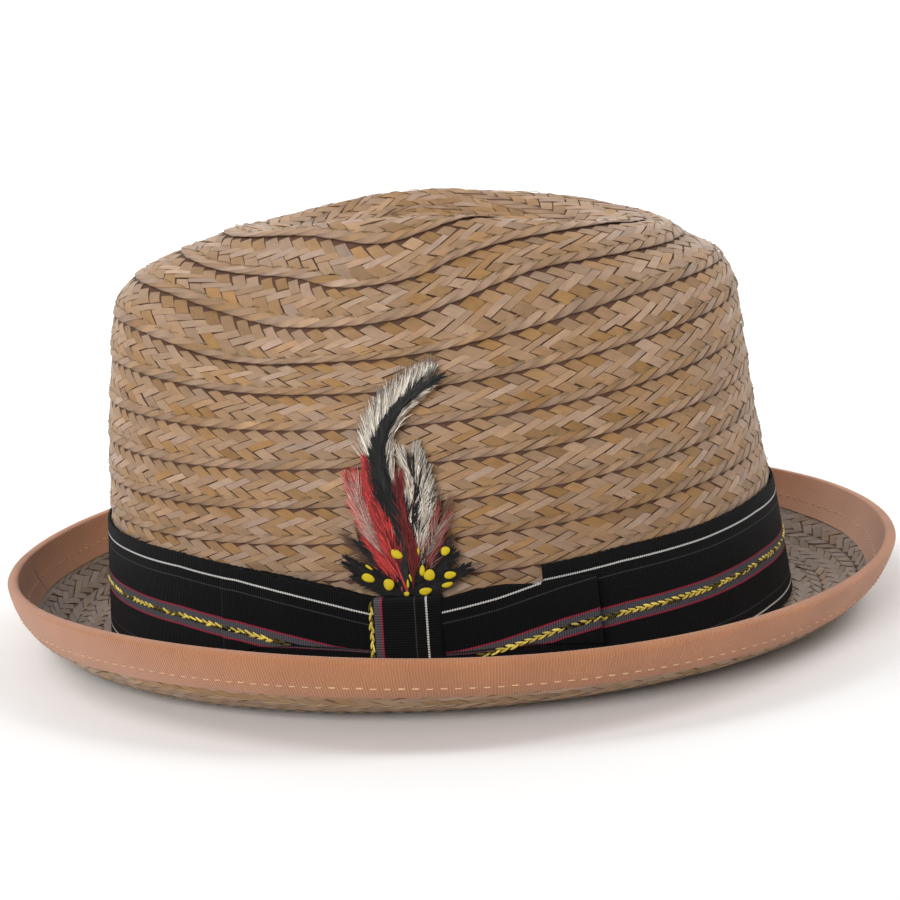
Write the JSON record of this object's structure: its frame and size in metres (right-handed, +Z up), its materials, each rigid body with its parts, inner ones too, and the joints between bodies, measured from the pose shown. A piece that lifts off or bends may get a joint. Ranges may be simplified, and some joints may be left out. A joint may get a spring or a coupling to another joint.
{
  "type": "stingy brim fedora",
  "caption": "Straw braid fedora with a creased, pinched crown, a short turned-up brim bound in ribbon, a striped band with a flat bow, and a small feather mount.",
  "frame": {"origin": "middle of the hat's length and width, rim to rim, on the surface that it stands on", "axes": "+Z up, -Y to the front of the hat, +X to the wearer's left, where the bow is"},
  "size_m": [0.2578, 0.2749, 0.1272],
  "materials": {
    "straw_braid": "sewn rows of toasted palm straw braid in a herringbone weave, semi-matte with a soft sheen on each strand",
    "binding_ribbon": "terracotta grosgrain ribbon with fine ribs, matte",
    "striped_ribbon": "near-black grosgrain ribbon with white, grey, red and gold woven lines, matte",
    "feathers": "black, cream and red feathers with yellow-spotted ones at the root, soft"
  },
  "bodies": {
    "root": {"straw_crown": "straw_braid", "straw_brim": "straw_braid", "brim_binding": "binding_ribbon", "hat_band": "striped_ribbon", "bow_loop_front": "striped_ribbon", "bow_loop_back": "striped_ribbon", "bow_knot": "striped_ribbon", "feather_tuft": "feathers"}
  },
  "joints": []
}
